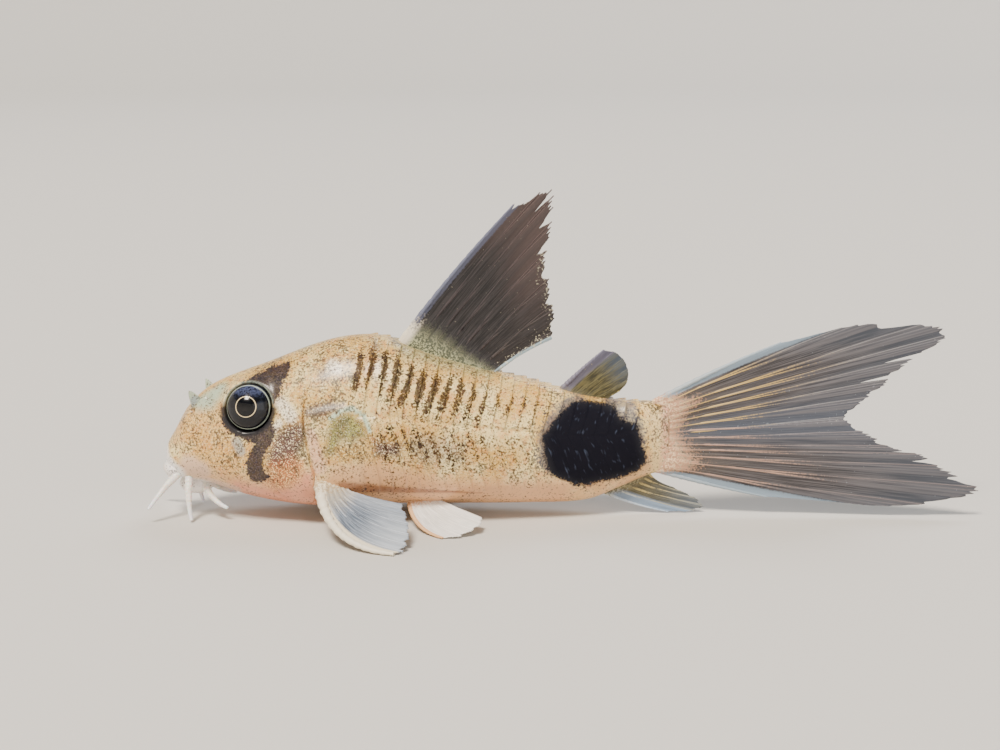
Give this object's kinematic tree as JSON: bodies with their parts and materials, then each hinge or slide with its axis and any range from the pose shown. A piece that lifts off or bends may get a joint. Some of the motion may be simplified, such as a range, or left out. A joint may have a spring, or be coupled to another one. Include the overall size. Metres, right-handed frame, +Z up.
{
  "type": "corydoras catfish model",
  "caption": "Life-size still model of a small armoured catfish with long fins and short mouth feelers, resting on its lower fins.",
  "frame": {"origin": "middle of the outline box in plan, on the floor the fish rests on", "axes": "+X from the snout to the tail, +Y towards the fish's own right side, +Z up"},
  "size_m": [0.068, 0.0254, 0.0269],
  "materials": {
    "skin": "wet scaly skin, cream and peach with fine dark speckles",
    "stem_skin": "wet scaly skin with a black blotch",
    "dark_fin": "dark smoky fin skin over bony rays",
    "clear_fin": "thin grey see-through fin skin over bony rays",
    "pale_fin": "milky white fin skin over pale rays",
    "eye": "wet dark eye with a thin gold ring round the pupil",
    "feeler": "soft pale skin"
  },
  "bodies": {
    "root": {"head": "skin", "trunk": "skin", "tail_stem": "stem_skin", "dorsal_fin": "dark_fin", "adipose_fin": "dark_fin", "anal_fin": "clear_fin", "tail_fin_upper": "clear_fin", "tail_fin_lower": "clear_fin", "pectoral_fin_left": "pale_fin", "pectoral_fin_right": "pale_fin", "pelvic_fin_left": "pale_fin", "pelvic_fin_right": "pale_fin", "eye_left": "eye", "eye_right": "eye", "barbel_front_left": "feeler", "barbel_front_right": "feeler", "barbel_lower_left": "feeler", "barbel_lower_right": "feeler", "barbel_chin_left": "feeler", "barbel_chin_right": "feeler"}
  },
  "joints": []
}
